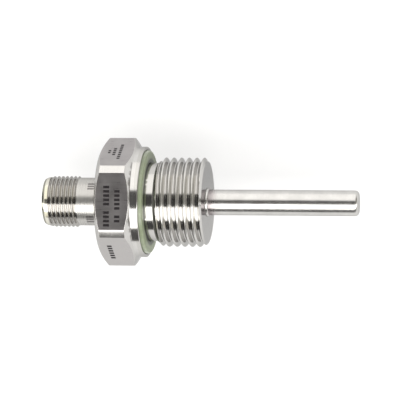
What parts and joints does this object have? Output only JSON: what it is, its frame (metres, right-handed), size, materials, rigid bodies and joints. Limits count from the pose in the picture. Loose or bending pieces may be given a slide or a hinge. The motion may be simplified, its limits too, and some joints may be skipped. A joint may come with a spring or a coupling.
{
  "type": "resistance thermometer probe",
  "caption": "Screw-in resistance thermometer: hexagon fitting with pipe-thread stud and sealing ring, closed steel sheath with the sensor in its tip, round plug connector behind.",
  "frame": {"origin": "on the axis, in the plane of the collar's sealing face", "axes": "+X along the probe towards its tip, +Z out of the marked flat of the hexagon"},
  "size_m": [0.0743, 0.03, 0.027],
  "materials": {
    "turned_steel": "fine turned stainless steel",
    "sheath_steel": "polished stainless steel",
    "shell_steel": "fine turned stainless steel",
    "green_rubber": "smooth pale green fluoro rubber",
    "black_rubber": "black O-ring rubber",
    "insert_plastic": "moulded black polyamide",
    "contact_metal": "gold plated",
    "resin": "cast epoxy resin",
    "wire_insulation": "extruded fluoropolymer insulation",
    "ceramic": "fired alumina",
    "splice_metal": "tinned brass",
    "lead_metal": "drawn nickel wire"
  },
  "bodies": {
    "root": {"process_fitting": "turned_steel", "sealing_ring": "green_rubber", "probe_sheath": "sheath_steel", "connector_shell": "shell_steel", "shell_o_ring": "black_rubber", "contact_carrier": "insert_plastic", "carrier_o_ring": "black_rubber", "contact_pin_1": "contact_metal", "contact_pin_2": "contact_metal", "contact_pin_3": "contact_metal", "contact_pin_4": "contact_metal", "potting": "resin", "lead_wire_1": "wire_insulation", "lead_wire_2": "wire_insulation", "lead_wire_3": "wire_insulation", "lead_wire_4": "wire_insulation", "insulating_tube": "ceramic", "splice_sleeve_1": "splice_metal", "splice_sleeve_2": "splice_metal", "element_lead_1": "lead_metal", "element_lead_2": "lead_metal", "sensing_element": "ceramic", "tip_filler": "ceramic"}
  },
  "joints": []
}
